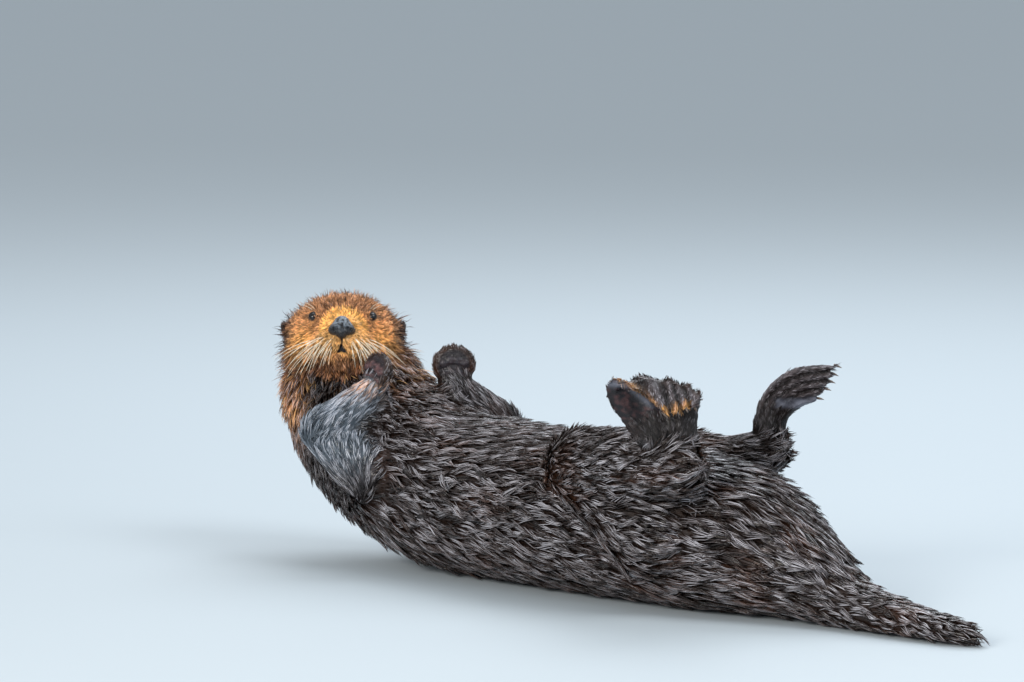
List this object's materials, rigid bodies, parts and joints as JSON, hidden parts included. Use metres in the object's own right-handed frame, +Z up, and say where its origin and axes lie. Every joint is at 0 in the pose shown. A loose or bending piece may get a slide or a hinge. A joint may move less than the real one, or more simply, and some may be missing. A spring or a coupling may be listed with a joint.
{
  "type": "sea otter",
  "caption": "Life-size sea otter floating on its back, head raised and turned, forepaws lifted and webbed hind feet in the air; rests on its back and tail.",
  "frame": {"origin": "centre of the bounding box's footprint, on the floor that the back and tail rest on", "axes": "+X from the head to the tail, +Y to the animal's left, +Z up, out of the belly"},
  "size_m": [1.2595, 0.3459, 0.3506],
  "materials": {
    "face_fur": "damp golden-brown fur",
    "body_fur": "wet dark brown fur in pointed locks",
    "foot_skin": "wet dark skin with short fur",
    "nose_skin": "moist pebbled skin",
    "eye": "glossy, almost black",
    "claw": "satin horn"
  },
  "bodies": {
    "root": {"head": "face_fur", "neck": "body_fur", "chest": "body_fur", "belly": "body_fur", "rump": "body_fur", "tail": "body_fur", "ear_left": "body_fur", "ear_right": "body_fur", "upper_arm_left": "body_fur", "upper_arm_right": "body_fur", "forearm_left": "body_fur", "forearm_right": "body_fur", "thigh_left": "body_fur", "thigh_right": "body_fur", "shank_left": "body_fur", "shank_right": "body_fur", "forepaw_left": "foot_skin", "forepaw_right": "foot_skin", "hind_foot_left": "foot_skin", "hind_foot_right": "foot_skin", "nose": "nose_skin", "eye_left": "eye", "eye_right": "eye", "claw_hind_left_1": "claw", "claw_hind_left_2": "claw", "claw_hind_left_3": "claw", "claw_hind_left_4": "claw", "claw_hind_left_5": "claw", "claw_hind_right_1": "claw", "claw_hind_right_2": "claw", "claw_hind_right_3": "claw", "claw_hind_right_4": "claw", "claw_hind_right_5": "claw"}
  },
  "joints": []
}
